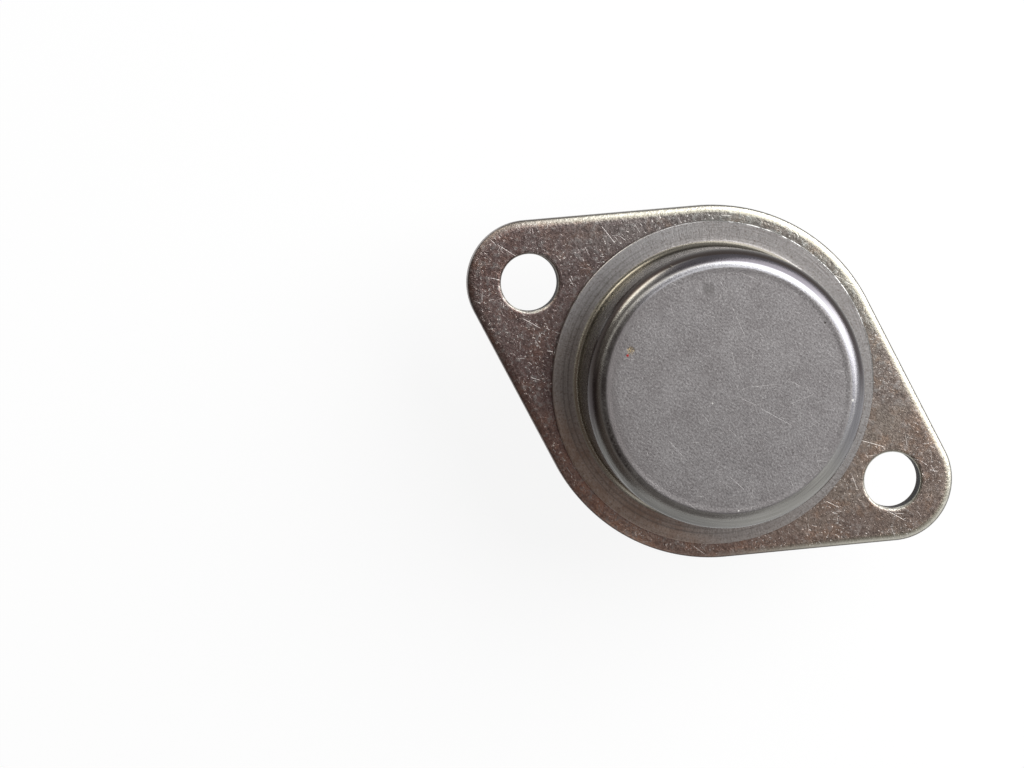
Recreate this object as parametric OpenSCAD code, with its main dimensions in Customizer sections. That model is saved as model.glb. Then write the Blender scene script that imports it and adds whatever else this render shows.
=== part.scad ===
// Power transistor in a metal can with two leads.
//
// A stamped steel header plate carries everything. A drawn cap is welded on top of
// it. Under the cap the chip lies on a copper spreader, and a strap runs from each of
// its two contacts to a lead, which leaves through a glass seal in the plate.
//
// The origin is the middle of the seating face, at Z = 0. X runs from one screw hole
// to the other, the can rises along +Z and the leads hang along -Z. All sizes are in
// millimetres.

/* [Header plate] */
// Distance between the screw holes
hole_pitch = 30.15; // [29:0.05:32]
// Diameter of the screw holes
hole_d = 4.1; // [3.8:0.05:4.3]
// Diameter of the plate's round middle
body_d = 25.5; // [24.6:0.1:27]
// Radius of the plate's ends round the screw holes
ear_r = 4.45; // [3.6:0.05:5]
// Thickness of the plate
plate_t = 1.5; // [1.2:0.05:1.8]
// Radius that the blanking punch rolls along the plate's upper edge
edge_roll = 0.4; // [0.2:0.05:0.6]
// Radius that the piercing punch rolls round the top of a screw hole
hole_roll = 0.2; // [0.1:0.05:0.3]
// Break-out round the bottom of a screw hole
hole_break = 0.1; // [0.05:0.01:0.15]
// Height of the ridge that the cap is welded down on
ridge_h = 0.08; // [0.05:0.01:0.15]
// Width of that ridge
ridge_w = 0.5; // [0.3:0.05:0.7]

/* [Cap] */
// Height of the cap's top over the seating face
can_h = 8.7; // [7.5:0.1:9]
// Diameter of the cap's wall
cap_wall_d = 19.6; // [19:0.1:20]
// Diameter of the cap's weld flange
cap_flange_d = 23.3; // [22.8:0.1:23.8]
// Thickness of the cap's sheet
cap_t = 0.4; // [0.3:0.05:0.5]
// Radius between the wall and the weld flange
cap_root_r = 0.5; // [0.3:0.05:0.6]
// Radius of the shoulder between the wall and the top
cap_shoulder_r = 1; // [0.7:0.05:1.4]
// Radius that trimming rolls along the weld flange's edge
cap_edge_roll = 0.12; // [0.05:0.01:0.2]
// Depth of the flat face that the die coins into the top
crown_dip = 0.05; // [0.02:0.01:0.1]
// Width of the slope round that flat face
crown_slope = 0.15; // [0.1:0.05:0.3]

/* [Leads and glass seals] */
// Distance between the leads
lead_pitch = 10.92; // [10.6:0.02:11.2]
// Offset of the leads' line from the plate's middle
lead_offset = 1.815; // [1.5:0.005:2]
// Diameter of a lead
lead_d = 1; // [0.97:0.01:1.09]
// Length of a lead below the seating face
lead_l = 11.7; // [11.2:0.1:12.2]
// Diameter of a lead in its seal, where solder and glass build it up
lead_root_d = 1.06; // [1.04:0.01:1.1]
// Length below the seating face in which a lead comes down to its own diameter
lead_taper_l = 1.27; // [1:0.01:1.27]
// Part of that length which keeps the diameter of the seal
lead_collar_l = 0.2; // [0.1:0.05:0.4]
// Chamfer at a lead's tip
lead_chamfer = 0.15; // [0.05:0.05:0.3]
// Diameter of the head that is upset on a lead's inner end
lead_head_d = 1.8; // [1.5:0.1:2.2]
// Thickness of that head
lead_head_t = 0.35; // [0.2:0.05:0.6]
// Diameter of the hole that a glass seal fills
seal_d = 3; // [2.6:0.1:3.2]
// Depth to which the glass sinks between the lead and the hole
meniscus = 0.12; // [0.05:0.01:0.2]
// Flat rim of glass at the lead and at the hole
glass_rim = 0.05; // [0.03:0.01:0.1]

/* [Chip and its mount] */
// Distance from the leads' line to the chip's middle
chip_setback = 1.2; // [0.8:0.05:1.4]
// Length of the copper spreader
spreader_l = 9; // [8:0.1:10]
// Width of the copper spreader
spreader_w = 7.2; // [6.8:0.05:7.3]
// Thickness of the copper spreader
spreader_t = 1.2; // [0.8:0.1:1.4]
// Corner radius of the copper spreader
spreader_corner_r = 0.8; // [0.4:0.1:1.5]
// Thickness of the braze under the spreader
braze_t = 0.08; // [0.05:0.01:0.12]
// Width of the braze that runs out round the spreader
braze_margin = 0.15; // [0.05:0.05:0.2]
// Side of the square chip
chip_w = 4; // [3.6:0.1:4.2]
// Thickness of the chip
chip_t = 0.25; // [0.2:0.01:0.35]
// Thickness of the solder under the chip
solder_t = 0.06; // [0.04:0.01:0.1]
// Width of the solder that runs out round the chip
solder_margin = 0.1; // [0.05:0.05:0.2]
// Distance from the chip's edge to the moat etched round its junction
moat_inset = 0.12; // [0.08:0.01:0.15]
// Width of that moat
moat_w = 0.13; // [0.1:0.01:0.15]
// Depth of that moat
moat_d = 0.06; // [0.04:0.01:0.1]
// Clear strip between the moat and the metal contacts
contact_inset = 0.1; // [0.05:0.01:0.15]
// Thickness of the metal contacts
contact_t = 0.05; // [0.03:0.01:0.08]
// Width of the bar that joins a contact's fingers and takes the strap
contact_bar_w = 0.6; // [0.5:0.05:0.7]
// Gap between the two contacts
contact_gap = 0.12; // [0.08:0.01:0.16]
// Fingers of the emitter contact, which has one more than the base contact
emitter_fingers = 5; // [3:1:6]
// Height of the coating over the spreader
coating_h = 1.4; // [1.2:0.05:1.6]
// Bare copper left between the coating and the spreader's side
coating_margin = 0.15; // [0.05:0.05:0.2]

/* [Straps] */
// Height from the chip's contacts up to the leads' heads
strap_rise = 0.6; // [0.5:0.05:1]
// Width of a strap
strap_w = 1; // [0.8:0.05:1.1]
// Thickness of a strap
strap_t = 0.15; // [0.1:0.01:0.18]
// Inner radius of a strap's bends
strap_bend_r = 0.15; // [0.1:0.01:0.15]
// Distance from the edges of a contact's bar to the strap's foot
strap_foot_inset = 0.05; // [0.02:0.01:0.08]
// Length of strap past the middle of the lead
strap_tail = 0.7; // [0.4:0.05:0.8]

/* [Hidden] */
$fn = 96;

// Extra length of a cutter past the face that it starts from
over = 1;
// The base side lies towards -Y and the emitter side towards +Y
BASE = -1;
EMITTER = 1;

body_r = body_d / 2;
hole_x = hole_pitch / 2;
// Direction of the line square to the straight edge that touches the body and an ear
edge_angle = acos((body_r - ear_r) / hole_x);
edge_l = hole_x * sin(edge_angle);

cap_wall_r = cap_wall_d / 2;
cap_flange_r = cap_flange_d / 2;
// The cap's flange lies on the weld ridge, which stands under the flat of the flange
cap_z = plate_t + ridge_h;
cap_root_x = cap_wall_r + cap_root_r;
ridge_r = (cap_root_x + cap_flange_r) / 2;
crown_r = cap_wall_r - cap_shoulder_r;

lead_y = lead_pitch / 2;
lead_root_r = lead_root_d / 2;
seal_r = seal_d / 2;

chip_x = lead_offset - chip_setback;
spreader_z = plate_t + braze_t;
solder_z = spreader_z + spreader_t;
chip_z = solder_z + solder_t;
contact_z = chip_z + chip_t;
strap_z = contact_z + contact_t;
lead_top_z = strap_z + strap_rise;
// Half the side of the square that the two contacts share
contact_half = chip_w / 2 - moat_inset - moat_w - contact_inset;
contact_slots = 2 * emitter_fingers - 1;
slot_w = 2 * contact_half / contact_slots;
coating_r = spreader_w / 2 - coating_margin;

// Cross-section of the plate, out from some upright axis to its rolled upper edge
module rolled_profile(width) {
  difference() {
    square([width, plate_t]);
    translate([width - edge_roll, plate_t - edge_roll]) rolled_corner(edge_roll);
  }
}

// What a punch takes off an upper corner: a square less the quarter circle in it
module rolled_corner(r) {
  difference() {
    square(r + over);
    circle(r);
  }
}

// A quarter of the plate. It is laid out from the line that runs from the middle square
// to the straight edge: the body's arc on one side of it, the straight edge and then
// the ear's arc on the other. The arcs run past the two mid-planes, which trim them.
module plate_quarter() {
  past = 5;
  intersection() {
    translate([0, 0, -over]) cube([hole_pitch, body_d, plate_t + 2 * over]);
    rotate([0, 0, edge_angle]) {
      rotate_extrude(angle = 90 - edge_angle + past) rolled_profile(body_r);
      rotate([90, 0, 0]) linear_extrude(edge_l) rolled_profile(body_r);
      translate([body_r - ear_r, -edge_l, 0])
        rotate_extrude(angle = -edge_angle - past) rolled_profile(ear_r);
    }
  }
}

module plate_blank() {
  for (mx = [0, 1], my = [0, 1]) mirror([mx, 0, 0]) mirror([0, my, 0]) plate_quarter();
}

// A pierced hole: rolled in at the top, broken out at the bottom
module screw_hole() {
  translate([0, 0, -over]) cylinder(d = hole_d, h = plate_t + 2 * over);
  rotate_extrude() translate([hole_d / 2, plate_t - hole_roll]) difference() {
    translate([-over, 0]) square([hole_roll + over, hole_roll + over]);
    translate([hole_roll, 0]) circle(hole_roll);
  }
  cylinder(r1 = hole_d / 2 + hole_break, r2 = hole_d / 2, h = hole_break);
}

// The ring that the cap is welded down on, with its root in the plate
module weld_ridge() {
  rotate_extrude() translate([ridge_r - ridge_w / 2, plate_t / 2])
    square([ridge_w, plate_t / 2 + ridge_h]);
}

// Turns a piece made for the emitter side over to the side that is asked for
module on_side(side) {
  if (side == BASE) mirror([0, 1, 0]) children();
  else children();
}

// Puts a piece at one lead's place
module at_lead(side) {
  translate([lead_offset, side * lead_y, 0]) children();
}

module header_plate() {
  color("#6f675f") {
    difference() {
      plate_blank();
      for (side = [-1, 1]) translate([side * hole_x, 0, 0]) screw_hole();
      for (side = [BASE, EMITTER])
        at_lead(side) translate([0, 0, -over]) cylinder(d = seal_d, h = plate_t + 2 * over);
    }
    weld_ridge();
  }
}

// Half section of the space under one face of the cap's sheet: the outer face when
// inset is 0 and the inner face when it is the sheet's thickness
module cap_face(inset) {
  wall = cap_wall_r - inset;
  top = can_h - inset;
  shoulder = cap_shoulder_r - inset;
  root = cap_root_r + inset;
  flange = cap_z + cap_t - inset;
  difference() {
    translate([0, cap_z - over]) square([wall, top - cap_z + over]);
    translate([wall - shoulder, top - shoulder]) rolled_corner(shoulder);
  }
  // concave root
  difference() {
    translate([0, cap_z - over]) square([cap_root_x, flange + root - cap_z + over]);
    translate([cap_root_x, flange + root]) circle(root);
  }
}

module cap_flange_section() {
  difference() {
    translate([0, cap_z]) square([cap_flange_r, cap_t]);
    translate([cap_flange_r - cap_edge_roll, cap_z + cap_t - cap_edge_roll])
      rolled_corner(cap_edge_roll);
  }
}

module crown_cut() {
  polygon([
    [0, can_h + over], [0, can_h - crown_dip], [crown_r - crown_slope, can_h - crown_dip],
    [crown_r, can_h], [crown_r, can_h + over]
  ]);
}

module cap() {
  color("#8c8884") rotate_extrude() difference() {
    union() {
      cap_flange_section();
      intersection() {
        cap_face(0);
        translate([0, cap_z]) square([cap_flange_r, can_h]);
      }
    }
    cap_face(cap_t);
    crown_cut();
  }
}

// A drawn wire with an upset head, built up where glass and solder wet it
module lead(side) {
  r = lead_d / 2;
  neck_z = lead_top_z - lead_head_t;
  color("#b9b6ae") at_lead(side) rotate_extrude() polygon([
    [0, -lead_l],
    [r - lead_chamfer, -lead_l],
    [r, -lead_l + lead_chamfer],
    [r, -lead_taper_l],
    [lead_root_r, -lead_collar_l],
    [lead_root_r, neck_z],
    [lead_head_d / 2, neck_z],
    [lead_head_d / 2, lead_top_z],
    [0, lead_top_z]
  ]);
}

// A glass bead fused to the lead and to the hole's wall. Both ends are hollowed.
module glass_seal(side) {
  width = seal_r - lead_root_r;
  chord = width - 2 * glass_rim;
  hollow_r = (chord * chord / 4 + meniscus * meniscus) / (2 * meniscus);
  rise = hollow_r - meniscus;
  color("#3f6f5c") at_lead(side) rotate_extrude() difference() {
    translate([lead_root_r, 0]) square([width, plate_t]);
    for (z = [-rise, plate_t + rise])
      translate([lead_root_r + width / 2, z]) circle(hollow_r);
  }
}

// Outline of a stamped blank with round corners, centred on the chip
module blank(length, width, corner) {
  translate([chip_x, 0]) {
    square([length - 2 * corner, width], center = true);
    square([length, width - 2 * corner], center = true);
    for (x = [-1, 1], y = [-1, 1])
      translate([x * (length / 2 - corner), y * (width / 2 - corner)]) circle(corner);
  }
}

module spreader_braze() {
  color("#c9c2a8") translate([0, 0, plate_t]) linear_extrude(braze_t)
    blank(spreader_l + 2 * braze_margin, spreader_w + 2 * braze_margin,
          spreader_corner_r + braze_margin);
}

module heat_spreader() {
  color("#b87333") translate([0, 0, spreader_z]) linear_extrude(spreader_t)
    blank(spreader_l, spreader_w, spreader_corner_r);
}

// A square slab on the chip's middle
module slab(side, z, height) {
  translate([chip_x - side / 2, -side / 2, z]) cube([side, side, height]);
}

module die_solder() {
  color("#a9a9a4") slab(chip_w + 2 * solder_margin, solder_z, solder_t);
}

module silicon_die() {
  moat_side = chip_w - 2 * moat_inset;
  color("#4a4f57") difference() {
    slab(chip_w, chip_z, chip_t);
    difference() {
      slab(moat_side, contact_z - moat_d, moat_d + over);
      slab(moat_side - 2 * moat_w, contact_z - moat_d - over, moat_d + 3 * over);
    }
  }
}

// A comb of metal: a bar along one side of the chip, and fingers that reach across
// to within the gap of the other contact's bar. Emitter fingers take the even slots
// and base fingers the odd ones.
module contact(side) {
  first = side == EMITTER ? 0 : 1;
  finger_l = 2 * contact_half - contact_bar_w - contact_gap;
  bar_y = contact_half - contact_bar_w;
  on_side(side) translate([chip_x, 0, contact_z]) linear_extrude(contact_t) {
    translate([-contact_half, bar_y]) square([2 * contact_half, contact_bar_w]);
    for (slot = [first : 2 : contact_slots - 1])
      translate([-contact_half + slot * slot_w + contact_gap / 2, contact_half - finger_l])
        square([slot_w - contact_gap, finger_l]);
  }
}

module base_contact() {
  color("#d0d0cc") contact(BASE);
}

module emitter_contact() {
  color("#d0d0cc") contact(EMITTER);
}

// A quarter bend of the strap, round the corner of the first quadrant
module strap_bend() {
  outer = strap_bend_r + strap_t;
  intersection() {
    square(outer + over);
    difference() {
      circle(outer);
      circle(strap_bend_r);
    }
  }
}

// Side view of a strap, which runs along the first axis: its foot on the contact, a
// bend, a riser, a second bend and the run that is welded to the lead's head
module strap_section() {
  outer = strap_bend_r + strap_t;
  foot_start = contact_half - contact_bar_w + strap_foot_inset;
  foot_end = contact_half - strap_foot_inset;
  riser_start = foot_end + strap_bend_r;
  run_start = foot_end + outer + strap_bend_r;
  low_bend_z = strap_z + outer;
  high_bend_z = lead_top_z - strap_bend_r;
  translate([foot_start, strap_z]) square([foot_end - foot_start, strap_t]);
  translate([foot_end, low_bend_z]) mirror([0, 1]) strap_bend();
  translate([riser_start, low_bend_z]) square([strap_t, high_bend_z - low_bend_z]);
  translate([run_start, high_bend_z]) mirror([1, 0]) strap_bend();
  translate([run_start, lead_top_z]) square([lead_y + strap_tail - run_start, strap_t]);
}

module strap(side) {
  color("#c4c0b4") on_side(side) translate([lead_offset - strap_w / 2, 0, 0])
    rotate([90, 0, 90]) linear_extrude(strap_w) strap_section();
}

// A drop of silicone over the chip. It wets the spreader and closes round the feet of
// the straps.
module junction_coating() {
  r = (coating_r * coating_r + coating_h * coating_h) / (2 * coating_h);
  color("#e8e4da") difference() {
    translate([chip_x, 0, solder_z]) intersection() {
      translate([0, 0, coating_h - r]) sphere(r);
      cylinder(r = coating_r + over, h = coating_h + over);
    }
    die_solder();
    silicon_die();
    for (side = [BASE, EMITTER]) {
      contact(side);
      strap(side);
    }
  }
}

header_plate();
cap();
lead(BASE);  // base_lead
lead(EMITTER);  // emitter_lead
glass_seal(BASE);  // base_seal
glass_seal(EMITTER);  // emitter_seal
spreader_braze();
heat_spreader();
die_solder();
silicon_die();
base_contact();
emitter_contact();
strap(BASE);  // base_strap
strap(EMITTER);  // emitter_strap
junction_coating();
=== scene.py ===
import math

import bmesh
import bpy
from mathutils import Matrix, Vector


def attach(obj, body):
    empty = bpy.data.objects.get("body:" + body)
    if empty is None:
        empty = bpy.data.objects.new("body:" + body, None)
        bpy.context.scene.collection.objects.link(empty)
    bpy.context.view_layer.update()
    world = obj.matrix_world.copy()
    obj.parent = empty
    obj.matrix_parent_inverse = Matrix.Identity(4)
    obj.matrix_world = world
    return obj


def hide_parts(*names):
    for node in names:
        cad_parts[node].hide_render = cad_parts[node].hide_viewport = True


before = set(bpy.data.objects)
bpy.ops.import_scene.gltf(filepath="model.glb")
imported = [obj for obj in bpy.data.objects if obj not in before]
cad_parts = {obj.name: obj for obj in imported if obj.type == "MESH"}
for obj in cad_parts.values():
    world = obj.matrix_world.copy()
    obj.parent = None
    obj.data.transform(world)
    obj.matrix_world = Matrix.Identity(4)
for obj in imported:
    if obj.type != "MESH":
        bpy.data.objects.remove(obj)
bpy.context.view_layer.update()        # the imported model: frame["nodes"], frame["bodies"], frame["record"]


# --- Camera ---------------------------------------------------------------------------
# A close view from almost straight above. It leans a little to the far screw hole's
# side, and the plate's long axis lies slantwise in the picture.
MM = 0.001
camera_place = Vector((-34.4, -1.5, 194.5)) * MM
camera_aim = Vector((-12.56, -7.01, 0)) * MM
picture_turn = math.radians(28.6)
camera_sensor = 36       # millimetres, as is the lens
camera_lens = 95.5


def put_aside():
    """Deselects everything, so that an operator works on the next piece only."""
    if bpy.context.object and bpy.context.object.mode != "OBJECT":
        bpy.ops.object.mode_set(mode="OBJECT")
    bpy.ops.object.select_all(action="DESELECT")


def turn_along(sight, up):
    """The rotation of a camera or lamp that looks along sight, with up on top."""
    right = sight.cross(up).normalized()
    return Matrix((right, right.cross(sight), -sight)).transposed().to_euler()


put_aside()
sight = (camera_aim - camera_place).normalized()
picture_up = Vector((-math.sin(picture_turn), math.cos(picture_turn), 0))
bpy.ops.object.camera_add(location=camera_place, rotation=turn_along(sight, picture_up))
camera = bpy.context.object
camera.name = "camera"
camera.data.sensor_width = camera_sensor
camera.data.lens = camera_lens
camera.data.clip_start = 10 * MM
camera.data.clip_end = 10
bpy.context.scene.camera = camera
bpy.context.scene.view_settings.view_transform = "Standard"


# --- Floor and light ------------------------------------------------------------------
# The transistor stands on its leads on a white floor. One large soft lamp lights it
# from the upper right of the picture. A ceiling, a screen, a strip light, a window and
# a side lamp, which the camera misses, give the bright metal something to mirror.
floor_z = -11.75 * MM
floor_size = 3.0
floor_glow = 0.88
sky_light = 0.32
mirrored = 0.8           # how much of the white background the metal mirrors
lamp_turn = math.radians(66)
lamp_height = math.radians(42)
lamp_distance = 0.36
lamp_size = 0.4
lamp_power = 2.15

UP = Vector((0, 0, 1))
WHITE = (1, 1, 1, 1)


class Wire:
    """A node's socket. Maths written on it adds the Math nodes that work it out."""

    def __init__(self, tree, socket=None):
        self.tree = tree
        self.socket = socket

    def node(self, kind, settings=(), inputs=(), output=0):
        """Adds any node: its settings first, then numbers or links into its sockets."""
        made = self.tree.nodes.new(kind)
        for name, setting in dict(settings).items():
            setattr(made, name, setting)
        for name, value in dict(inputs).items():
            if isinstance(value, Wire):
                self.tree.links.new(value.socket, made.inputs[name])
            else:
                made.inputs[name].default_value = value
        return Wire(self.tree, made.outputs[output] if made.outputs else None)

    def maths(self, operation, *others):
        values = dict(enumerate((self, *others)))
        return self.node("ShaderNodeMath", {"operation": operation}, values)

    def __add__(self, other):
        return self.maths("ADD", other)

    def __mul__(self, other):
        return self.maths("MULTIPLY", other)

    def __sub__(self, other):
        return self.maths("SUBTRACT", other)

    def __rsub__(self, other):
        return self * -1 + other

    def __truediv__(self, other):
        return self.maths("DIVIDE", other)

    __radd__ = __add__
    __rmul__ = __mul__


def open_material(name):
    """A new material without nodes, and a wire to start its nodes from."""
    material = bpy.data.materials.new(name)
    material.use_nodes = True
    material.node_tree.nodes.clear()
    return material, Wire(material.node_tree)


def close_material(wire, shader):
    wire.node("ShaderNodeOutputMaterial", inputs={"Surface": shader})


def shown_to_camera(wire):
    """How much of the background's glow a ray meets: all of it where it is the camera's
    or refracted, a share where it is mirrored, and none otherwise."""
    rays = [
        wire.node("ShaderNodeLightPath", output=name)
        for name in ("Is Camera Ray", "Is Glossy Ray", "Is Transmission Ray")
    ]
    return (rays[0] + rays[1] * mirrored + rays[2]).maths("MINIMUM", 1)


def plain_card(name, at, sight, size, tint, glow, turn=0):
    """A flat screen of the studio, which the metal mirrors but the camera misses."""
    put_aside()
    overhead = abs(sight.z) >= 0.9
    up = Vector((-math.sin(turn), math.cos(turn), 0)) if overhead else UP
    bpy.ops.mesh.primitive_plane_add(size=1, location=at, rotation=turn_along(sight, up))
    card = bpy.context.object
    card.name = name
    card.scale = (*size, 1)
    bpy.ops.object.transform_apply()
    card.visible_camera = False
    card.visible_shadow = False
    card.visible_diffuse = False
    material, wire = open_material(name)
    cloth = wire.node("ShaderNodeEmission", inputs={"Color": (*tint, 1), "Strength": glow})
    close_material(wire, cloth)
    card.data.materials.append(material)


put_aside()
bpy.ops.mesh.primitive_plane_add(size=floor_size, location=(0, 0, floor_z))
floor = bpy.context.object
floor.name = "floor"
bpy.ops.object.transform_apply()
paper, wire = open_material("white_paper")
sheet = wire.node("ShaderNodeBsdfDiffuse", inputs={"Color": (0.9, 0.9, 0.9, 1)})
glow = wire.node("ShaderNodeEmission", inputs={"Color": WHITE, "Strength": 1})
lit = wire.node(
    "ShaderNodeMixShader", inputs={0: shown_to_camera(wire) * floor_glow, 1: sheet, 2: glow})
clear = wire.node("ShaderNodeBsdfTransparent")
below = wire.node("ShaderNodeNewGeometry", output="Backfacing")
close_material(wire, wire.node("ShaderNodeMixShader", inputs={0: below, 1: lit, 2: clear}))
floor.data.materials.append(paper)

world = bpy.data.worlds.new("studio")
world.use_nodes = True
world.node_tree.nodes.clear()
wire = Wire(world.node_tree)
strength = shown_to_camera(wire) * (1 - sky_light) + sky_light
sky = wire.node("ShaderNodeBackground", inputs={"Color": WHITE, "Strength": strength})
wire.node("ShaderNodeOutputWorld", inputs={"Surface": sky})
bpy.context.scene.world = world

lamp_from = Vector((
    math.cos(lamp_height) * math.cos(lamp_turn),
    math.cos(lamp_height) * math.sin(lamp_turn),
    math.sin(lamp_height),
))
put_aside()
bpy.ops.object.light_add(
    type="AREA", location=lamp_from * lamp_distance,
    rotation=turn_along(-lamp_from, UP))
lamp = bpy.context.object
lamp.name = "soft_lamp"
lamp.data.shape = "DISK"
lamp.data.size = lamp_size
lamp.data.energy = lamp_power

ceiling_side = Vector((0.85, 0.53, 0))
ceiling_edge = 0.12      # how far out on that side the ceiling ends
ceiling_reach = 1.0
ceiling_h = 0.5
ceiling_place = ceiling_side * (ceiling_edge - ceiling_reach / 2) + UP * ceiling_h
plain_card(
    "ceiling", at=ceiling_place, sight=-UP, size=(ceiling_reach, 1.4),
    tint=(1.0, 0.92, 0.91), glow=0.21, turn=math.radians(32))
plain_card(
    "left_screen", at=Vector((-0.31, -0.26, 0.18)), sight=Vector((0.77, 0.64, 0)),
    size=(0.84, 0.7), tint=(1.0, 0.8, 0.7), glow=0.15)
plain_card(
    "strip_light", at=Vector((-0.26, 0.15, 0.45)), sight=-UP, size=(0.06, 0.6),
    tint=(1.0, 0.97, 0.9), glow=2.6, turn=math.radians(150))
plain_card(
    "far_window", at=Vector((-0.3654, 0.1627, 0.06)), sight=Vector((0.9135, -0.4067, 0)),
    size=(0.18, 0.16), tint=(1.0, 0.95, 0.84), glow=8.0)
plain_card(
    "side_lamp", at=Vector((-0.125, 0.156, 0.346)), sight=Vector((0.312, -0.39, -0.866)),
    size=(0.22, 0.1), tint=(1.0, 0.98, 0.96), glow=3.2)


# --- Header plate ---------------------------------------------------------------------
# The plate is blanked and pierced from sheet steel and nickel-plated. The punch rolls
# the upper edges in and leaves streaks down the sheared sides. It carries the weld
# ridge for the cap, and handling has stippled and scratched it all over.
hole_pitch = 30.15 * MM
hole_r = 2.05 * MM
body_r = 12.75 * MM
ear_r = 4.45 * MM
plate_t = 1.5 * MM
edge_roll = 0.9 * MM     # how far in the upper edge is rolled
edge_drop = 0.34 * MM    # and how far down
hole_roll = 0.28 * MM
hole_break = 0.1 * MM
edge_break = 0.04 * MM
ridge_h = 0.08 * MM
ridge_w = 0.5 * MM
ridge_r = 10.975 * MM
flash_r = 11.58 * MM     # how far the weld squeezes the ridge out under the flange
flash_lip = 0.05 * MM    # the bevel round the flash
seal_r = 1.5 * MM
lead_x = 1.815 * MM
lead_y = 5.46 * MM
body_corners = 288
ear_corners = 144
flat_within = math.radians(0.3)
lamp_side = 37           # degrees in the picture, for toward()
NEAR = 1e-6              # distance within which two places count as the same


def take_up(piece):
    """Makes a piece the only one that operators work on."""
    put_aside()
    piece.select_set(True)
    bpy.context.view_layer.objects.active = piece


def pick(kind, wanted):
    """In edit mode, selects the vertices, edges or faces for which wanted is true."""
    bpy.ops.mesh.select_mode(type=kind)
    bpy.ops.mesh.select_all(action="DESELECT")
    mesh = bpy.context.object.data
    form = bmesh.from_edit_mesh(mesh)
    for part in {"VERT": form.verts, "EDGE": form.edges, "FACE": form.faces}[kind]:
        part.select_set(wanted(part))
    bmesh.update_edit_mesh(mesh)


def all_at(height):
    """True for an edge or face whose corners all lie at that height."""
    return lambda part: all(abs(corner.co.z - height) < NEAR for corner in part.verts)


def disc(radius, low, high, x=0, y=0, vertices=96):
    """An upright cylinder, as a blank or as a punch."""
    bpy.ops.mesh.primitive_cylinder_add(
        vertices=vertices, radius=radius, depth=high - low, location=(x, y, (low + high) / 2))
    bpy.ops.object.transform_apply()
    return bpy.context.object


def join(pieces):
    put_aside()
    for piece in pieces:
        piece.select_set(True)
    bpy.context.view_layer.objects.active = pieces[0]
    bpy.ops.object.join()
    return pieces[0]


def combine(piece, tool, operation):
    """Cuts a tool out of a piece, or fuses it on. The tool is used up."""
    take_up(piece)
    modifier = piece.modifiers.new(operation, "BOOLEAN")
    modifier.operation = operation
    modifier.solver = "EXACT"
    modifier.object = tool
    bpy.ops.object.modifier_apply(modifier=modifier.name)
    take_up(tool)
    bpy.ops.object.delete()
    take_up(piece)


def turned(name, rings, x=0, y=0, vertices=192):
    """A turned piece, extruded ring by ring along (radius, height) pairs. It closes on
    itself where the last pair is the first one, and is capped at both ends otherwise."""
    put_aside()
    radius, height = rings[0]
    closed = rings[0] == rings[-1]
    bpy.ops.mesh.primitive_circle_add(
        vertices=vertices, radius=radius, location=(0, 0, height),
        fill_type="NOTHING" if closed else "NGON")
    piece = bpy.context.object
    piece.name = name
    bpy.ops.object.transform_apply()
    bpy.ops.object.mode_set(mode="EDIT")
    pick("EDGE", lambda edge: True)
    for next_radius, next_height in rings[1:]:
        if closed or len(bmesh.from_edit_mesh(piece.data).faces) > 1:
            bpy.ops.mesh.extrude_edges_move()
        else:
            bpy.ops.mesh.extrude_region_move()
        change = next_radius / radius
        bpy.ops.transform.resize(value=(change, change, 1), center_override=(0, 0, 0))
        bpy.ops.transform.translate(value=(0, 0, next_height - height))
        radius, height = next_radius, next_height
    if not closed:
        bpy.ops.mesh.edge_face_add()
    bpy.ops.mesh.select_all(action="SELECT")
    bpy.ops.mesh.remove_doubles(threshold=NEAR / 10)
    bpy.ops.mesh.normals_make_consistent(inside=False)
    bpy.ops.transform.translate(value=(x, y, 0))
    bpy.ops.object.mode_set(mode="OBJECT")
    return piece


def finish_faces(piece, angle=35):
    """Smooths the rounds, and keeps the flats flat and the creases sharp."""
    take_up(piece)
    bpy.ops.object.shade_smooth_by_angle(angle=math.radians(angle))
    modifier = piece.modifiers.new("flats", "WEIGHTED_NORMAL")
    modifier.keep_sharp = True
    bpy.ops.object.modifier_apply(modifier=modifier.name)


def arc(centre, radius, start, end, steps):
    """(radius, height) pairs along a round of a section. Angles are in degrees."""
    pairs = []
    for step in range(steps + 1):
        angle = math.radians(start + (end - start) * step / steps)
        pairs.append((
            centre[0] + radius * math.cos(angle), centre[1] + radius * math.sin(angle)))
    return pairs


put_aside()
hole_x = hole_pitch / 2
plate = join([disc(body_r, 0, plate_t, vertices=body_corners)] + [
    disc(ear_r, 0, plate_t, x=side * hole_x, vertices=ear_corners) for side in (1, -1)])
plate.name = "plate"
bpy.ops.object.mode_set(mode="EDIT")
bpy.ops.mesh.select_all(action="SELECT")
bpy.ops.mesh.convex_hull(join_triangles=False)
bpy.ops.mesh.select_all(action="SELECT")
bpy.ops.mesh.dissolve_limited(angle_limit=flat_within)
pick("EDGE", all_at(plate_t))
bpy.ops.mesh.bevel(offset=edge_roll, segments=12, affect="EDGES", clamp_overlap=False)
pick("VERT", lambda corner: corner.co.z > plate_t - edge_roll - NEAR)
bpy.ops.transform.resize(
    value=(1, 1, edge_drop / edge_roll), center_override=(0, 0, plate_t))
pick("EDGE", all_at(0))
bpy.ops.mesh.bevel(offset=edge_break, segments=2, affect="EDGES", clamp_overlap=False)
bpy.ops.object.mode_set(mode="OBJECT")

punches = [disc(hole_r, -plate_t, 2 * plate_t, x=side * hole_x) for side in (1, -1)]
punches += [disc(seal_r, -plate_t, 2 * plate_t, x=lead_x, y=side * lead_y) for side in (1, -1)]
combine(plate, join(punches), "DIFFERENCE")


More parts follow.
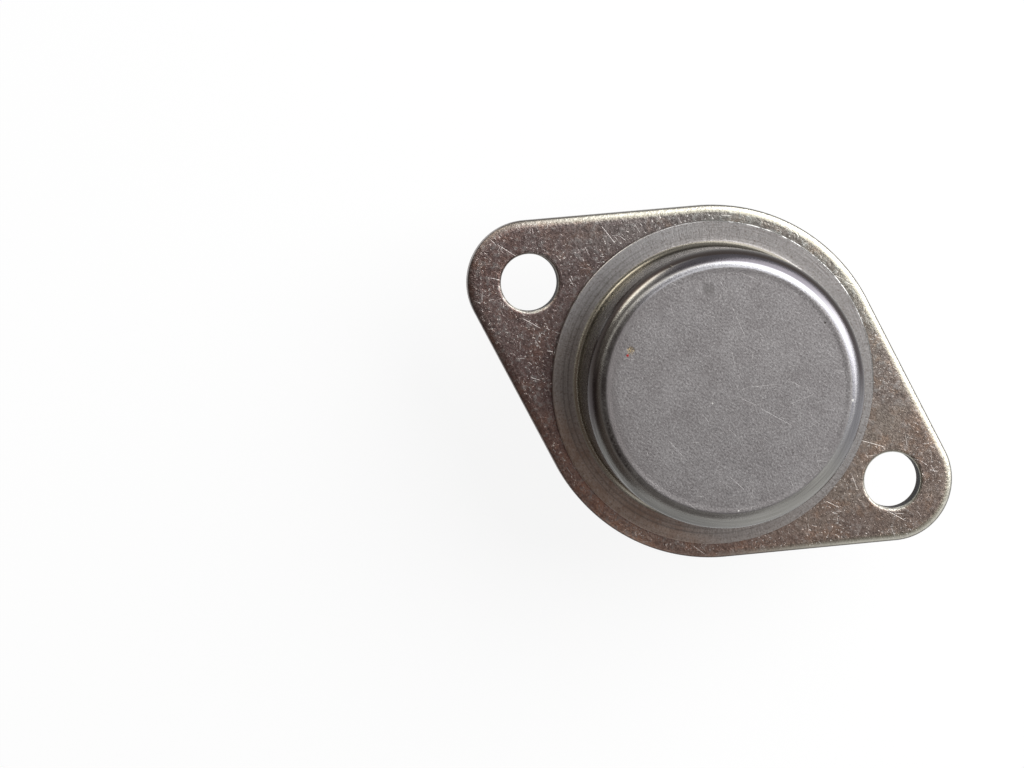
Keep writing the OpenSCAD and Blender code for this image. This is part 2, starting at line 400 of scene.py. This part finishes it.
def on_hole_rim(height):
    """True for an edge on a screw hole's rim at that height."""
    def wanted(edge):
        return all_at(height)(edge) and all(
            abs(math.hypot(abs(corner.co.x) - hole_x, corner.co.y) - hole_r) < 10 * NEAR
            for corner in edge.verts)
    return wanted


bpy.ops.object.mode_set(mode="EDIT")
pick("EDGE", on_hole_rim(plate_t))
bpy.ops.mesh.bevel(offset=hole_roll, segments=5, affect="EDGES", clamp_overlap=False)
pick("EDGE", on_hole_rim(0))
bpy.ops.mesh.bevel(
    offset=hole_break, segments=2, profile=0.3, affect="EDGES", clamp_overlap=False)
bpy.ops.object.mode_set(mode="OBJECT")
ridge_top = plate_t + ridge_h
combine(plate, turned("ridge", [
    (ridge_r - ridge_w / 2, plate_t / 2), (flash_r, plate_t / 2),
    (flash_r, plate_t + ridge_h * 0.6), (flash_r - flash_lip, ridge_top),
    (ridge_r - ridge_w / 2, ridge_top), (ridge_r - ridge_w / 2, plate_t / 2)]), "UNION")
finish_faces(plate)


def object_place(wire):
    """Where a point lies on the object, in millimetres."""
    place = wire.node("ShaderNodeTexCoord", output="Object")
    return place.node("ShaderNodeVectorMath", {"operation": "SCALE"}, {0: place, "Scale": 1000})


def axes(place):
    """The three numbers of a place, or the three parts of a colour."""
    return [place.node("ShaderNodeSeparateXYZ", inputs={0: place}, output=n) for n in range(3)]


def gather(wire, x, y, z):
    return wire.node("ShaderNodeCombineXYZ", inputs={0: x, 1: y, 2: z})


def fade(value, low, high, start=0, end=1):
    """Goes softly from start to end while value goes from low to high."""
    return value.node(
        "ShaderNodeMapRange", {"interpolation_type": "SMOOTHSTEP"},
        {0: value, 1: low, 2: high, 3: start, 4: end})


def toward(x, y, turn):
    """How far a place lies from the middle towards one side, in degrees anticlockwise
    as the camera sees it. 0 is its right and 90 its top."""
    angle = math.radians(turn) + picture_turn
    return x * math.cos(angle) + y * math.sin(angle)


def noise(place, grain, detail=2, roughness=0.5):
    """Soft random patches from 0 to 1, grain millimetres wide."""
    return place.node(
        "ShaderNodeTexNoise", inputs={
            "Vector": place, "Scale": 1 / grain, "Detail": detail, "Roughness": roughness})


def blend(share, first, second, mode="MIX"):
    """Colour first, turning to second where share is 1."""
    first, second = [c if isinstance(c, Wire) else (*c, 1) for c in (first, second)]
    wire = next(value for value in (share, first, second) if isinstance(value, Wire))
    return wire.node(
        "ShaderNodeMix", {"data_type": "RGBA", "blend_type": mode},
        {0: share, 6: first, 7: second}, output=2)


def scratches(place, cell, width, share, spread=1):
    """Hairlines seen from above. Each cell, cell millimetres wide, holds one at most.
    Its direction is free where spread is 1, and near the long axis where spread is
    small. Gives 1 on a scratch and 0 off it."""
    settings = {"voronoi_dimensions": "2D"}
    inputs = {"Vector": place, "Scale": 1 / cell}
    centre = place.node("ShaderNodeTexVoronoi", settings, inputs, output="Position")
    chance = place.node("ShaderNodeTexVoronoi", settings, inputs, output="Color")
    offset = place.node("ShaderNodeVectorMath", {"operation": "SUBTRACT"}, {0: place, 1: centre})
    x, y, _ = axes(offset)
    turn, length, luck = axes(chance)
    angle = (turn - 0.5) * (math.pi * spread) - 0.2
    cosine = angle.maths("COSINE")
    sine = angle.maths("SINE")
    along = (x * cosine + y * sine).maths("ABSOLUTE")
    across = y * cosine - x * sine
    narrow = fade(across.maths("ABSOLUTE"), width * 0.3, width, 1, 0)
    reach = length * (cell * 0.5) + cell * 0.15
    short = fade(along / reach, 0.7, 1, 1, 0)
    return narrow * short * luck.maths("GREATER_THAN", 1 - share)


def dents(place, cell, size, share):
    """Small round dents, as a depth from 0 to 1."""
    inputs = {"Vector": place, "Scale": 1 / cell}
    far = place.node("ShaderNodeTexVoronoi", inputs=inputs, output="Distance") * cell
    chance = place.node("ShaderNodeTexVoronoi", inputs=inputs, output="Color")
    luck = axes(chance)[0].maths("GREATER_THAN", 1 - share)
    return fade(far, 0, size, 1, 0) * luck


def metal(wire, colour, roughness, height):
    """A bare metal shader. height is the surface's relief in millimetres."""
    relief = wire.node(
        "ShaderNodeBump", inputs={"Strength": 1, "Distance": MM, "Height": height})
    return wire.node("ShaderNodeBsdfPrincipled", inputs={
        "Base Color": colour, "Metallic": 1, "Roughness": roughness, "Normal": relief})


plate_nickel, wire = open_material("plate_nickel")
place = object_place(wire)
x, y, z = axes(place)
up_side = fade(z, 1.3, 1.48)
flat = (up_side + fade(z, 0.05, 0.0)).maths("MINIMUM", 1)
rolled = fade(z, 1.495, 1.42) * fade(z, 1.12, 1.25)
side = fade(z, 1.2, 1.1) * fade(z, 0.02, 0.1)
mottle = noise(place, 0.16, 4, 0.75)
speckle = noise(place, 0.45, 3, 0.7)
cloud = noise(place, 4, 3, 0.6)
stain = noise(place, 1.1, 4, 0.6)
worn = noise(place, 2.6, 3, 0.6)
flecks = fade(noise(place, 0.19, 1, 0.5), 0.64, 0.71) * fade(worn, 0.33, 0.6)
long_hairs = scratches(place, cell=2.1, width=0.026, share=0.24, spread=0.35)
short_hairs = scratches(place, cell=0.8, width=0.028, share=0.4, spread=0.6)
short_hairs = short_hairs * fade(worn, 0.38, 0.6)
knocks = dents(place, cell=0.6, size=0.075, share=0.3) * fade(worn, 0.25, 0.55)
marks = long_hairs.maths("MAXIMUM", short_hairs).maths("MAXIMUM", knocks) * flat
from_hole = ((x.maths("ABSOLUTE") - hole_x / MM).maths("POWER", 2) + y * y).maths("SQRT")
hole_edge = fade(from_hole, 2.7, 2.3)
rim_low = fade(toward(x - x.maths("SIGN") * (hole_x / MM), y, 245), 0.7, 1.7)
streaks = noise(gather(wire, x, y, z * 0.06), 0.09, 2, 0.6)
torn = fade(z + noise(place, 0.5, 2, 0.5) * 0.3, 0.75, 0.6) * side
colour = blend(fade(cloud, 0.35, 0.7), (0.128, 0.104, 0.101), (0.168, 0.147, 0.14))
colour = blend(fade(stain, 0.48, 0.7) * 0.45, colour, (0.21, 0.14, 0.105))
# Painted shade and light on the plate: browner on the side away from the lamp (shaded), lighter and browner
# at the lower-left edge (lower_left_tint), and lighter towards +X.
shaded = fade(toward(x, y, lamp_side), 4, -9)
colour = blend(shaded, colour, (1.07, 0.87, 0.84), "MULTIPLY")
lower_left_tint = fade(toward(x, y, 220), 9.5, 12)
colour = blend(lower_left_tint, colour, (1.75, 1.6, 1.42), "MULTIPLY")
colour = blend(fade(x, -9, 5), colour, (1.32, 1.34, 1.22), "MULTIPLY")
colour = blend(fade(mottle, 0.55, 0.3) * 0.7, colour, (0.075, 0.062, 0.06))
colour = blend(fade(mottle, 0.5, 0.75) * 0.7, colour, (0.325, 0.303, 0.29))
colour = blend(fade(speckle, 0.52, 0.66) * 0.45, colour, (0.29, 0.28, 0.27))
colour = blend(fade(speckle, 0.47, 0.35) * 0.28, colour, (0.07, 0.057, 0.053))
colour = blend(fade(toward(x, y, 60), 7, 10), colour, (0.96, 1.04, 1.03), "MULTIPLY")
colour = blend(fade(toward(x, y, 300), 6, 11), colour, (0.95, 0.88, 0.85), "MULTIPLY")
# Painted highlight: the burnished rolled edge is painted lighter on the lamp side, with a near-white painted
# highlight line along it (edge_highlight).
colour = blend(rolled * 0.7 * (1 - shaded), colour, (0.25, 0.243, 0.19))
edge_highlight = fade(z, 1.46, 1.36) * rolled * (1 - shaded) * (0.3 + mottle)
colour = blend(edge_highlight, colour, (0.62, 0.6, 0.53))
# Painted reflection: a dark line round the plate just under its rolled edge.
dark_edge_reflection = fade(z, 1.35, 1.28) * fade(z, 1.08, 1.16)
colour = blend(dark_edge_reflection * 0.8, colour, (0.05, 0.045, 0.042))
# Painted shade: the screw holes' bores and the plate's underside round them are painted nearly black.
shaded_bore = hole_edge * fade(z, 1.35, 1.2)
colour = blend(shaded_bore, colour, (0.03, 0.028, 0.029))
# Painted highlight: a bright glint along the lower side of each screw hole's rim.
rim_glint = hole_edge * rolled * rim_low * (0.3 + fade(speckle, 0.42, 0.6))
colour = blend(rim_glint, colour, (0.62, 0.6, 0.54))
# Light scratches and nicks, and light flecks: small dents that are partly bright wear and partly painted
# sparkle.
colour = blend(marks * 0.65 + flecks * flat * 0.54, colour, (0.6, 0.58, 0.56))
colour = blend(torn * 0.5, colour, (0.15, 0.125, 0.115))
roughness = noise(place, 0.6, 3, 0.6) * 0.14 + 0.26 + torn * 0.15 + rolled * 0.05
roughness = roughness + shaded_bore * 0.3
height = speckle * 0.02 + mottle * 0.012 - flecks * flat * 0.02 - marks * 0.006
orange_peel = noise(place, 0.32, 3, 0.7) * fade(z, 1.4998, 1.46) * fade(z, 1.12, 1.25)
height = height + streaks * side * 0.02 + (stain - 0.5) * hole_edge * 0.04 + orange_peel * 0.04
close_material(wire, metal(wire, colour, roughness, height))
plate.data.materials.append(plate_nickel)
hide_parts("header_plate")
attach(plate, "root")


# --- Cap ------------------------------------------------------------------------------
# The cap is drawn from thin nickel-plated steel and resistance-welded down by its
# flange, on which the electrode leaves two faint rings. The die coins its top flat, a
# trace lower than the rim, and a spot of rust has come through the plating there.
can_h = 8.7 * MM
cap_wall_r = 9.8 * MM
cap_flange_r = 11.65 * MM
cap_t = 0.4 * MM
cap_root_r = 0.5 * MM
cap_shoulder_r = 1.25 * MM
cap_edge_roll = 0.08 * MM
crown_dip = 0.02 * MM
crown_slope = 0.4 * MM
crown_steps = 8
cap_middle = 0.3 * MM
# Radii in millimetres
crown_rings = (0.3, 2, 4, 6, 8)
flange_rings = (10.6, 11.1, 11.45, 11.54)
electrode_rings = (10.9, 10.56)
# Steps down the wall in millimetres
wall_rings = (0.2, 2, 4)

flange_top = ridge_top + cap_t
root_x = cap_wall_r + cap_root_r
crown_r = cap_wall_r - cap_shoulder_r
shoulder = (crown_r, can_h - cap_shoulder_r)
root = (root_x, flange_top + cap_root_r)
edge_round = (cap_flange_r - cap_edge_roll, flange_top - cap_edge_roll)
outside = [(radius * MM, can_h - crown_dip) for radius in crown_rings]
for step in range(crown_steps):
    rise = (1 - math.cos(math.pi * step / crown_steps)) / 2
    outside += [(
        crown_r - crown_slope * (1 - step / crown_steps), can_h - crown_dip * (1 - rise))]
outside += arc(shoulder, cap_shoulder_r, 90, 0, 16)
outside += [(cap_wall_r, can_h - cap_shoulder_r - step * MM) for step in wall_rings]
outside += arc(root, cap_root_r, 180, 270, 12)
outside += [(radius * MM, flange_top) for radius in flange_rings]
outside += arc(edge_round, cap_edge_roll, 90, 0, 5)
inside = [(cap_flange_r, ridge_top), (root_x, ridge_top)]
inside += arc(root, cap_root_r + cap_t, 270, 180, 8)[1:]
inside += arc(shoulder, cap_shoulder_r - cap_t, 0, 90, 8)
inside += [(cap_middle, can_h - cap_t)]
cap = turned("can", outside + inside, vertices=256)
finish_faces(cap, angle=40)

# Marks of wear on the cap, in millimetres
rust_spot = (-7.4, -0.85, 8.7)
rust_dot = (-7.42, -1.25, 8.7)
smudge_spot = (-4.7, 5.4, 8.7)
dark_dot = (3.63, 7.28, 8.7)
dark_dot_low = (6.06, -1.71, 8.7)
shoulder_pit = (-7.65, 5.55, 8.25)
nick_left = (-0.6, -1.35, 8.68)
nick_right = (4.65, -7.05, 8.68)
nick_shoulder = (8.0, 3.5, 8.69)


def near(place, spot, size, ragged):
    """1 at a spot, fading to 0 at about size millimetres from it, with a ragged edge."""
    far = place.node(
        "ShaderNodeVectorMath", {"operation": "DISTANCE"}, {0: place, 1: spot}, "Value")
    return fade(far + (noise(place, size * 0.6, 3, 0.7) - 0.5) * ragged, size * 0.4, size, 1, 0)


cap_nickel, wire = open_material("cap_nickel")
place = object_place(wire)
x, y, z = axes(place)
out = (x * x + y * y).maths("SQRT")
toward_lamp = toward(x, y, lamp_side)
lower_left_tint = fade(toward(x, y, 228), 7.5, 10.5)
window_side = fade(toward(x, y, 138), 7.2, 8.6)
behind = fade(toward(x, y, 98), -3, 0.5)
top = fade(z, 8.62, 8.645) * fade(out, 8.7, 8.5)
shaded = fade(toward_lamp, 6, -6)
# A dark line at the crown's edge, kept to the sides away from the lamp: dirt in the crease and painted
# shade.
crease_dirt_and_shade = fade(out, 7.5, 8.45) * 0.6 + fade(out, 8.6, 8.75) * 0.3
crease_dirt_and_shade = crease_dirt_and_shade * fade(out, 9.02, 8.88) * fade(z, 8.4, 8.5)
crease_dirt_and_shade = crease_dirt_and_shade * (fade(toward(x, y, 182), 5, 8) * 0.85 + fade(toward(x, y, 235), 3, 7) * 0.25)
flange = fade(z, 2.0, 1.985)
wall = fade(z, 8.2, 7.9) * fade(z, 2.0, 2.15)
fillet = fade(z, 1.983, 1.995) * fade(z, 2.6, 2.4)
outer_ring, inner_ring = [
    fade((out - radius).maths("ABSOLUTE"), 0.02, 0.1, 1, 0) * flange
    for radius in electrode_rings
]
mark = outer_ring + inner_ring
# Painted shade and highlight: on the lamp side the flange's outer edge is painted dark, with light dashes
# painted on it as a broken glint.
dimmed_flange_edge = fade(out, 11.52, 11.56) * fade(toward(x, y, 45), 6, 9)
glint_dashes = fade(noise(place, 0.8, 4, 0.7), 0.47, 0.56) * fade(toward(x, y, 55), 9, 10.5)
# Painted reflection: dark bands round the outer shoulder and the top of the wall on the far side, away from
# the window.
dark_brow_reflection = fade(z, 8.62, 8.4) * fade(z, 7.4, 7.8)
dark_rim_reflection = fade(z, 8.42, 8.24) * fade(z, 7.3, 7.7) * fade(toward(x, y, 98), 0, 3)
grain = noise(place, 0.15, 3, 0.75)
cloud = noise(place, 2.2, 4, 0.6)
stain = noise(place, 1.1, 4, 0.6)
drawn = noise(gather(wire, x, y, z * 0.05), 0.13, 3, 0.6)
rings = noise(gather(wire, out, x * 0.02, y * 0.02), 0.1, 3, 0.6)
rays = noise(gather(wire, x / out * 9, y / out * 9, out * 0.1), 0.09, 3, 0.6)
colour = blend(fade(cloud, 0.3, 0.7), (0.175, 0.165, 0.166), (0.21, 0.201, 0.202))
colour = blend(wall, colour, (0.2, 0.193, 0.188))
# Painted shade: the wall darker on its left side.
shaded_left_wall = wall * fade(toward(x, y, 200), 2, 7)
colour = blend(shaded_left_wall, colour, (0.115, 0.109, 0.096))
# Painted shade: the root fillet darker all round, and darker still on the lamp side, which dims its
# highlight.
colour = blend(fillet, colour, (0.14, 0.13, 0.11))
dimmed_lamp_fillet = fillet * fade(toward(x, y, 45), 7, 9.5)
colour = blend(dimmed_lamp_fillet, colour, (0.095, 0.088, 0.075))
# Painted light: the foot of the wall lighter on the lower-left side.
lit_foot = fade(z, 4.4, 2.4) * (wall + fillet).maths("MINIMUM", 1)
colour = blend(lit_foot * fade(toward(x, y, 205), 4, 9), colour, (0.34, 0.32, 0.27))
# Painted light and reflection on the shoulder: darker all round and darker still on the left, lighter on its
# upper part to brighten the highlights, lighter on the lower right and at the lower left of the rim, and a
# cool tone on the lamp side that shapes the highlight.
shoulder_band = fade(out, 8.6, 8.7) * fade(z, 7.4, 7.8)
colour = blend(shoulder_band, colour, (0.14, 0.138, 0.13))
shaded_left_band = shoulder_band * fade(toward(x, y, 222), 4, 9.5)
colour = blend(shaded_left_band, colour, (0.095, 0.093, 0.088))
upper_band = shoulder_band * fade(z, 7.95, 8.45)
colour = blend(upper_band, colour, (0.22, 0.215, 0.205))
lower_right_reflection = upper_band * fade(toward(x, y, 325), 3.5, 7.5)
colour = blend(lower_right_reflection, colour, (0.3, 0.293, 0.275))
lower_left_rim_sheen = fade(z, 8.5, 8.6) * shoulder_band * fade(toward(x, y, 238), 4, 7.5)
colour = blend(lower_left_rim_sheen, colour, (0.33, 0.322, 0.303))
colour = blend(shoulder_band * fade(toward_lamp, 1, 6), colour, (0.2, 0.196, 0.21))
colour = blend(shoulder_band * fade(rings, 0.52, 0.72) * 0.45, colour, (0.1, 0.095, 0.092))
colour = blend(shoulder_band * fade(rings, 0.46, 0.3) * 0.4, colour, (0.4, 0.395, 0.385))
# Painted reflection: the dark bands round the shoulder.
colour = blend(dark_brow_reflection * behind * (1 - window_side), colour, (0.07, 0.06, 0.062))
colour = blend(dark_rim_reflection, colour, (0.045, 0.036, 0.033))
upper_shade = fade(out, 8.9, 9.02) * fade(toward(x, y, 82), 5.5, 8.5) * fade(z, 8.3, 8.4)
colour = blend(upper_shade, colour, (0.072, 0.067, 0.075))
gleam = fade(out, 8.46, 8.6) * fade(out, 8.94, 8.78) * fade(toward(x, y, 92), 5.2, 7.8)
colour = blend(gleam, colour, (0.35, 0.35, 0.37))
colour = blend(flange, colour, (0.28, 0.27, 0.265))
# Painted light and reflection on the flange: browner on the side away from the lamp, lighter towards the
# upper left, and browner on the lower-left side (lower_left_tint).
colour = blend(flange * shaded, colour, (0.3, 0.272, 0.255))
colour = blend(flange * fade(toward(x, y, 130), 8.5, 11), colour, (0.34, 0.335, 0.335))
colour = blend(flange * lower_left_tint, colour, (0.37, 0.285, 0.235))
colour = blend(flange * fade(rings, 0.4, 0.7) * 0.4, colour, (0.19, 0.172, 0.165))
colour = blend(flange * fade(grain, 0.5, 0.3) * 0.7, colour, (0.13, 0.1, 0.09))
colour = blend(flange * fade(grain, 0.52, 0.75) * 0.6, colour, (0.42, 0.39, 0.38))
# Rust-brown stain patches, only on the lower-left side.
colour = blend(flange * lower_left_tint * fade(stain, 0.45, 0.65) * 0.6, colour, (0.24, 0.155, 0.115))
# The electrode rings: faint real marks, with painted shade making them darker on the side away from the
# lamp.
colour = blend(mark * (shaded * 0.3 + 0.1), colour, (0.13, 0.115, 0.11))
# Painted: the flange's edge darkened on the lamp side, and its glint dashes.
colour = blend(dimmed_flange_edge, colour, (0.1, 0.097, 0.094))
colour = blend(dimmed_flange_edge * glint_dashes, colour, (0.34, 0.335, 0.33))
colour = blend(top * fade(grain, 0.52, 0.3) * 0.7, colour, (0.09, 0.083, 0.083))
colour = blend(top * fade(grain, 0.5, 0.72) * 0.7, colour, (0.33, 0.32, 0.32))
# Painted shade with dirt: the dark line at the crown's edge.
colour = blend(crease_dirt_and_shade * fade(grain * 0.6 + cloud * 0.4, 0.3, 0.6), colour, (0.06, 0.05, 0.048))
rust_grain = noise(place, 0.07, 3, 0.7)
rust = near(place, rust_spot, size=0.34, ragged=0.3)
colour = blend(rust * fade(rust_grain, 0.5, 0.42), colour, (0.035, 0.02, 0.012))
colour = blend(rust * fade(rust_grain, 0.5, 0.56), colour, (0.4, 0.31, 0.16))
red = near(place, rust_dot, size=0.13, ragged=0.05)
colour = blend(red, colour, (0.28, 0.02, 0.02))
bright = near(place, nick_left, size=0.09, ragged=0.05)
bright = bright + near(place, nick_right, size=0.08, ragged=0.05)
bright = bright + near(place, nick_shoulder, size=0.12, ragged=0.06)
colour = blend(bright, colour, (0.55, 0.54, 0.52))
smudge = near(place, smudge_spot, size=0.55, ragged=0.8) * 0.35
smudge = smudge + near(place, dark_dot, size=0.12, ragged=0.05) * 0.9
smudge = smudge + near(place, shoulder_pit, size=0.16, ragged=0.1) * 0.8
smudge = smudge + near(place, dark_dot_low, size=0.1, ragged=0.05) * 0.6
colour = blend(smudge, colour, (0.05, 0.045, 0.042))
long_hairs = scratches(place, cell=2.4, width=0.025, share=0.25, spread=0.7)
short_hairs = scratches(place, cell=1.1, width=0.02, share=0.25)
hairs = long_hairs.maths("MAXIMUM", short_hairs)
blotch = noise(place, 0.7, 4, 0.7)
colour = blend(top * fade(blotch, 0.52, 0.3) * 0.14, colour, (0.11, 0.099, 0.1))
colour = blend(top * fade(blotch, 0.5, 0.72) * 0.14, colour, (0.29, 0.28, 0.28))
colour = blend(hairs * top * 0.4, colour, (0.42, 0.41, 0.4))
roughness = noise(place, 0.5, 3, 0.6) * 0.1 + 0.22 + top * 0.2 + flange * 0.06
height = grain * (top * 0.014 + 0.002) + drawn * (1 - flange) * (1 - top) * 0.006
height = height - rust * rust_grain * 0.02 - smudge * 0.01
height = height + (rings * 0.005 + rays * 0.008) * flange - hairs * top * 0.004
close_material(wire, metal(wire, colour, roughness, height))
cap.data.materials.append(cap_nickel)
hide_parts("cap")
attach(cap, "root")


# --- Glass seals ----------------------------------------------------------------------
# A ring of green sealing glass is melted into each hole round its lead. It wets both,
# so that it climbs a little at the steel and the wire and sinks in between.
lead_root_r = 0.53 * MM
meniscus = 0.12 * MM
glass_rim = 0.05 * MM
glass_steps = 12
wetting = 1.3            # above 1, the glass clings a little longer to both walls


def bead_face(level, up):
    """The hollow face of a bead, as (radius, height) pairs from the hole to the lead."""
    pairs = []
    for step in range(glass_steps + 1):
        share = step / glass_steps
        radius = seal_r - glass_rim + (lead_root_r - seal_r + 2 * glass_rim) * share
        pairs.append((radius, level - up * meniscus * math.sin(math.pi * share) ** wetting))
    return pairs


top_face = [(seal_r, plate_t)] + bead_face(plate_t, 1) + [(lead_root_r, plate_t)]
low_face = [(seal_r, 0)] + bead_face(0, -1) + [(lead_root_r, 0)]
glass, wire = open_material("sealing_glass")
place = object_place(wire)
swirl = noise(place, 0.5, 3, 0.6)
bubbles = dents(place, cell=0.22, size=0.05, share=0.4)
colour = blend(swirl, (0.018, 0.05, 0.04), (0.045, 0.105, 0.085))
colour = blend(bubbles * 0.6, colour, (0.16, 0.26, 0.22))
relief = wire.node("ShaderNodeBump", inputs={
    "Strength": 0.6, "Distance": MM, "Height": swirl * 0.02 - bubbles * 0.01})
close_material(wire, wire.node("ShaderNodeBsdfPrincipled", inputs={
    "Base Color": colour, "Roughness": swirl * 0.08 + 0.06, "IOR": 1.52,
    "Coat Weight": 0.6, "Coat Roughness": 0.04, "Normal": relief}))
for name, side in (("base", -1), ("emitter", 1)):
    bead = turned(f"{name}_bead", top_face + low_face[::-1] + top_face[:1],
                  x=lead_x, y=side * lead_y, vertices=96)
    finish_faces(bead, angle=50)
    bead.data.materials.append(glass)
    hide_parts(f"{name}_seal")
    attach(bead, "root")


# --- Leads ----------------------------------------------------------------------------
# Each lead is a nickel-iron wire with an upset head inside the can. The part below the
# plate is dipped in tin, which thickens it towards the glass and ends in a round tip.
lead_r = 0.5 * MM
lead_end = -11.7 * MM
lead_taper = 1.27 * MM
lead_collar = 0.2 * MM
lead_head_r = 0.9 * MM
lead_head_t = 0.35 * MM
head_top = 3.74 * MM
head_round = 0.08 * MM
tip_round = 0.2 * MM
shank_step = 0.5 * MM
shank_steps = 20
swell_steps = 8

tip = arc((lead_r - tip_round, lead_end + tip_round), tip_round, -90, 0, 6)
shank = [(lead_r, lead_end + step * shank_step) for step in range(1, shank_steps + 1)]
swell = []
for step in range(swell_steps + 1):
    share = step / swell_steps
    swell.append((
        lead_r + (lead_root_r - lead_r) * (1 - math.cos(math.pi * share)) / 2,
        -lead_taper + (lead_taper - lead_collar) * share))
neck = [(lead_root_r, 0), (lead_root_r, plate_t), (lead_root_r, head_top - lead_head_t)]
head = arc((lead_head_r - head_round, head_top - lead_head_t + head_round), head_round, -90, 0, 4)
head += arc((lead_head_r - head_round, head_top - head_round), head_round, 0, 90, 4)
tin, wire = open_material("dipped_tin")
place = object_place(wire)
x, y, z = axes(place)
dull = noise(place, 0.8, 4, 0.6)
frost = noise(place, 0.15, 3, 0.6)
runs = noise(gather(wire, x, y, z * 0.15), 0.3, 3, 0.5)
bare = fade(z, 0.4, 0.9)
colour = blend(fade(dull, 0.3, 0.7), (0.36, 0.35, 0.335), (0.5, 0.49, 0.47))
colour = blend(bare, colour, (0.4, 0.37, 0.34))
colour = blend(fade(z, -1.4, -0.1) * fade(frost, 0.45, 0.65) * 0.4, colour, (0.22, 0.2, 0.19))
roughness = dull * 0.2 + 0.22
height = runs * 0.02 + frost * 0.004
close_material(wire, metal(wire, colour, roughness, height))
for name, side in (("base", -1), ("emitter", 1)):
    pin = turned(f"{name}_pin", tip + shank + swell + neck + head,
                 x=lead_x, y=side * lead_y, vertices=64)
    finish_faces(pin, angle=50)
    pin.data.materials.append(tin)
    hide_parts(f"{name}_lead")
    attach(pin, "root")


# --- Chip and its mount ---------------------------------------------------------------
# A copper blank is brazed to the plate and the silicon chip soldered on it. Two metal
# combs lie on the chip, a nickel strap runs from each to its lead, and a milky drop of
# silicone covers the chip. All of it is sealed in, so the frame's own solids stay.


def dress(node, material):
    """Gives a solid of the frame its finish."""
    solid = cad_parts[node]
    solid.data.materials.clear()
    solid.data.materials.append(material)


def stock(name, dark, light, grain, roughness, relief, metallic=1, coat=0, lines=False):
    """A sheet or cast material: two tones in patches, with grain and a matching relief."""
    material, wire = open_material(name)
    place = object_place(wire)
    x, y, z = axes(place)
    patches = noise(place, grain * 6, 3, 0.6)
    fine = noise(gather(wire, x, y * 0.08, z) if lines else place, grain, 3, 0.6)
    height = wire.node("ShaderNodeBump", inputs={
        "Strength": 1, "Distance": MM, "Height": fine * relief})
    shader = wire.node("ShaderNodeBsdfPrincipled", inputs={
        "Base Color": blend(fade(patches * 0.6 + fine * 0.4, 0.35, 0.65), dark, light),
        "Metallic": metallic, "Roughness": patches * 0.15 + roughness, "Coat Weight": coat,
        "Normal": height})
    close_material(wire, shader)
    return material


dress("spreader_braze", stock(
    "braze", dark=(0.5, 0.46, 0.36), light=(0.7, 0.66, 0.55),
    grain=0.3, roughness=0.25, relief=0.012))
dress("heat_spreader", stock(
    "copper_blank", dark=(0.45, 0.2, 0.11), light=(0.72, 0.38, 0.24),
    grain=0.2, roughness=0.3, relief=0.006, lines=True))
dress("die_solder", stock(
    "soft_solder", dark=(0.36, 0.36, 0.35), light=(0.52, 0.52, 0.51),
    grain=0.12, roughness=0.35, relief=0.01))
dress("silicon_die", stock(
    "silicon", dark=(0.10, 0.11, 0.14), light=(0.16, 0.17, 0.21),
    grain=0.5, roughness=0.08, relief=0.0004, coat=0.3))
contact_metal = stock(
    "comb_metal", dark=(0.6, 0.6, 0.58), light=(0.75, 0.75, 0.73),
    grain=0.06, roughness=0.3, relief=0.003)
strap_nickel = stock(
    "strap_nickel", dark=(0.42, 0.4, 0.36), light=(0.56, 0.54, 0.49),
    grain=0.1, roughness=0.25, relief=0.003, lines=True)
for side in ("base", "emitter"):
    dress(f"{side}_contact", contact_metal)
    dress(f"{side}_strap", strap_nickel)
dress("junction_coating", stock(
    "silicone_drop", dark=(0.7, 0.68, 0.62), light=(0.82, 0.8, 0.75),
    grain=0.4, roughness=0.18, relief=0.01, metallic=0, coat=0.5))
